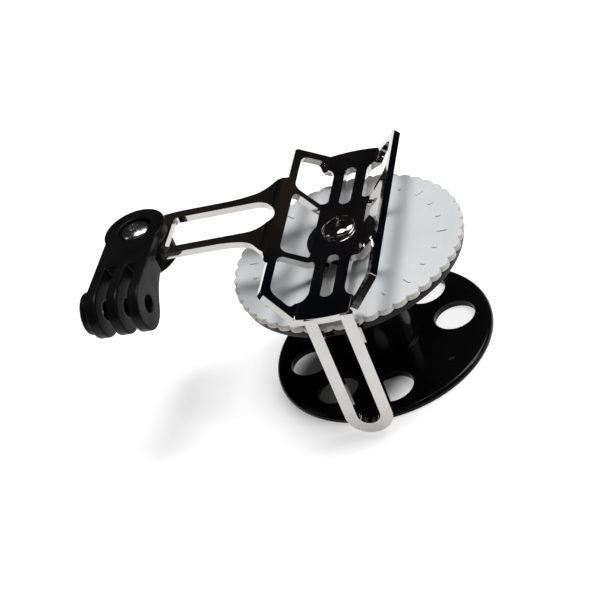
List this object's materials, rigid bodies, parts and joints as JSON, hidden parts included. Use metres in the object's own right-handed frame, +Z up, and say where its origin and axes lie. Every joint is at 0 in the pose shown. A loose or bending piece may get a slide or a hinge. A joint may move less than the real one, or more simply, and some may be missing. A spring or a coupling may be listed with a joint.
{
  "type": "line reel",
  "caption": "Compact line reel: a flanged spool with a scalloped hand disc turns under a folded steel bracket with a line guide loop, and the bracket's arm carries a pronged camera mount.",
  "frame": {"origin": "bottom centre of the overall box; the spool's axis is the vertical line x = 17.41 mm, y = 0", "axes": "+Z up along the spool's axis with the lower flange on the ground, -X towards the bracket's arm and camera mount, -Y towards the line guide loop"},
  "size_m": [0.1026, 0.076, 0.0574],
  "materials": {
    "black_gloss_plastic": "moulded, glossy",
    "white_plastic": "moulded, fine satin",
    "black_plastic": "moulded, satin",
    "polished_steel": "mirror polished faces, laser-cut edges",
    "fastener_steel": "bright turned stainless",
    "bronze": "turned"
  },
  "bodies": {
    "bracket_body": {"bracket": "polished_steel", "axle_screw": "polished_steel", "axle_nut": "fastener_steel", "sleeve": "bronze", "thrust_washer": "black_plastic", "lower_washer": "fastener_steel", "mount_screw": "fastener_steel", "clamp_block": "black_plastic", "mount_nut": "fastener_steel"},
    "spool_body": {"spool": "black_gloss_plastic", "hand_disc": "white_plastic"},
    "mount_body": {"camera_mount": "black_plastic", "prong_nut": "fastener_steel"}
  },
  "joints": [
    {"name": "spool_spin", "type": "hinge", "parent": "bracket_body", "child": "spool_body", "pos_m": [0.01741, 0, 0.02], "axis": [0, 0, 1], "continuous": true},
    {"name": "mount_swivel", "type": "hinge", "parent": "bracket_body", "child": "mount_body", "pos_m": [-0.04079, 0, 0.05542], "axis": [0, 0, 1], "range_deg": [-180, 0]}
  ]
}
